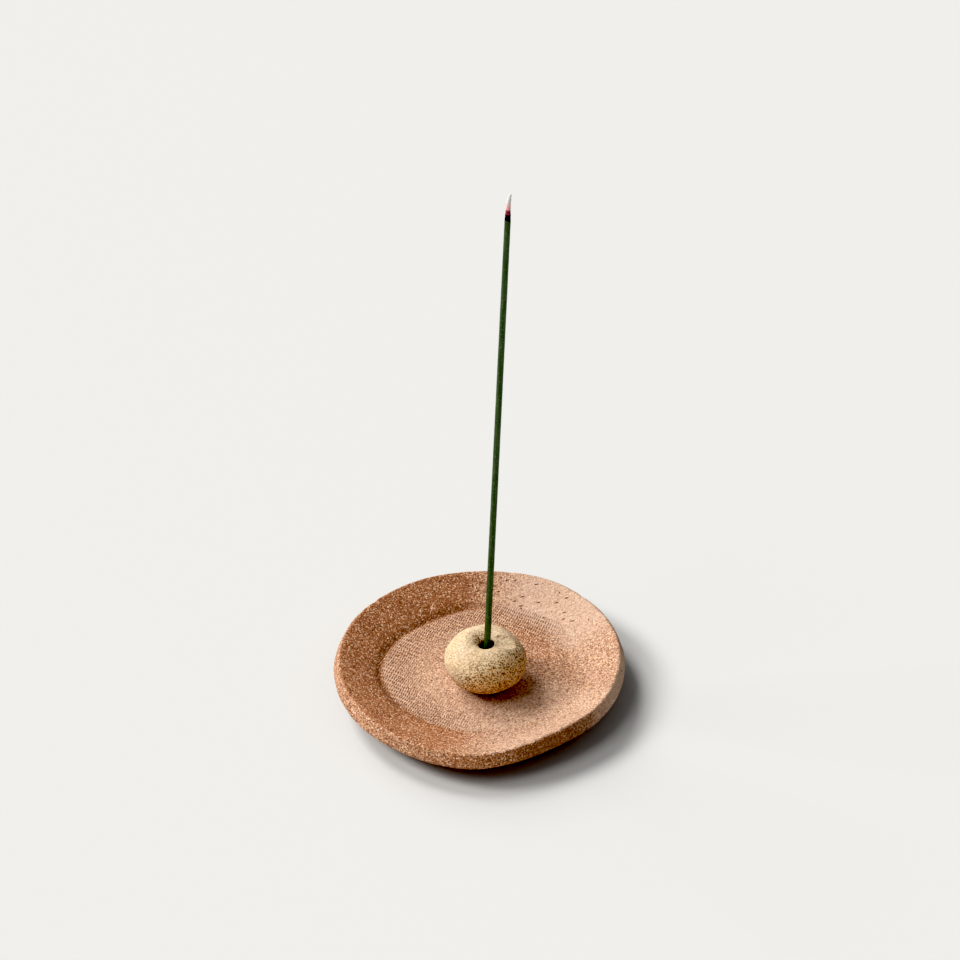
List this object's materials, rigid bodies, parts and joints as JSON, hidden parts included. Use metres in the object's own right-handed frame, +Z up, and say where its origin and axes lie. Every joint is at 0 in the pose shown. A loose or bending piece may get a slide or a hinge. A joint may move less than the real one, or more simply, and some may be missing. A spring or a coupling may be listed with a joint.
{
  "type": "incense stick holder",
  "caption": "Hand-formed unglazed clay dish with a loose dimpled clay bead whose socket holds a lit incense stick upright over the ash well.",
  "frame": {"origin": "middle of the dish's flat foot, on the surface that it stands on", "axes": "+Z up, +X to the right and +Y away from a person who faces the dish; the stick leans a little towards +X"},
  "size_m": [0.0996, 0.1005, 0.2063],
  "materials": {
    "terracotta": "unglazed, coarse speckle, cloth imprint",
    "sand_clay": "unglazed, fine sandy grain",
    "incense": "matte pressed powder",
    "char": "charred, matte",
    "ember": "dull glow",
    "ash": "powdery"
  },
  "bodies": {
    "dish": {"dish": "terracotta"},
    "bead": {"bead": "sand_clay"},
    "stick": {"incense_stick": "incense", "char_collar": "char", "ember": "ember", "ash_tip": "ash"}
  },
  "joints": [
    {"name": "bead_lift", "type": "slide", "parent": "dish", "child": "bead", "axis": [0, 0, 1], "range_m": [0, 0.03]},
    {"name": "stick_pull", "type": "slide", "parent": "bead", "child": "stick", "axis": [0.0361, 0, 0.9993], "range_m": [0, 0.02]}
  ]
}
